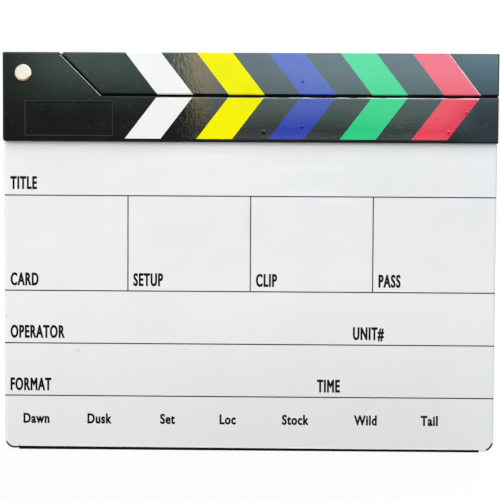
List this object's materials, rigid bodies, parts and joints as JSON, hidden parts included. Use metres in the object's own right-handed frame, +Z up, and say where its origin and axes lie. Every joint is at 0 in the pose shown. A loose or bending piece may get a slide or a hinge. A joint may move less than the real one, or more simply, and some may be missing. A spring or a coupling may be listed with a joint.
{
  "type": "clapperboard",
  "caption": "Production slate: a white writing board clamped in a fixed black stick, with a second striped stick hinged above it to clap shut.",
  "frame": {"origin": "middle of the lower edge, on the underside of the edge trim", "axes": "+X to the right along the sticks as seen from the writing side, +Y to the back, +Z up from the board to the sticks"},
  "size_m": [0.28, 0.0186, 0.2267],
  "materials": {
    "board_white": "gloss white acrylic sheet",
    "trim_black": "matt black channel",
    "stick_black": "fine textured black moulding",
    "washer_nylon": "natural nylon",
    "pivot_nickel": "bright nickel plate",
    "screw_steel": "zinc plated steel",
    "label_white": "white vinyl",
    "print_black": "gloss black print",
    "print_white": "gloss white print",
    "print_yellow": "gloss yellow print",
    "print_blue": "gloss blue print",
    "print_green": "gloss green print",
    "print_red": "gloss red print"
  },
  "bodies": {
    "slate": {"writing_board": "board_white", "bottom_edge_trim": "trim_black", "lower_stick_front": "stick_black", "lower_stick_rear": "stick_black", "front_hinge_washer": "washer_nylon", "rear_hinge_washer": "washer_nylon", "pivot_post": "pivot_nickel", "pivot_screw": "pivot_nickel", "lower_stick_screws": "screw_steel", "lower_label": "label_white", "lower_black_bands": "print_black", "lower_white_stripe": "print_white", "lower_yellow_stripe": "print_yellow", "lower_blue_stripe": "print_blue", "lower_green_stripe": "print_green", "lower_red_stripe": "print_red"},
    "clapper": {"upper_stick_front": "stick_black", "upper_stick_rear": "stick_black", "upper_stick_screws": "screw_steel", "upper_label": "label_white", "upper_black_bands": "print_black", "upper_white_stripe": "print_white", "upper_yellow_stripe": "print_yellow", "upper_blue_stripe": "print_blue", "upper_green_stripe": "print_green", "upper_red_stripe": "print_red"}
  },
  "joints": [
    {"name": "clap_hinge", "type": "hinge", "parent": "slate", "child": "clapper", "pos_m": [-0.128, 0, 0.2149], "axis": [0, -1, 0], "range_deg": [0, 90]}
  ]
}
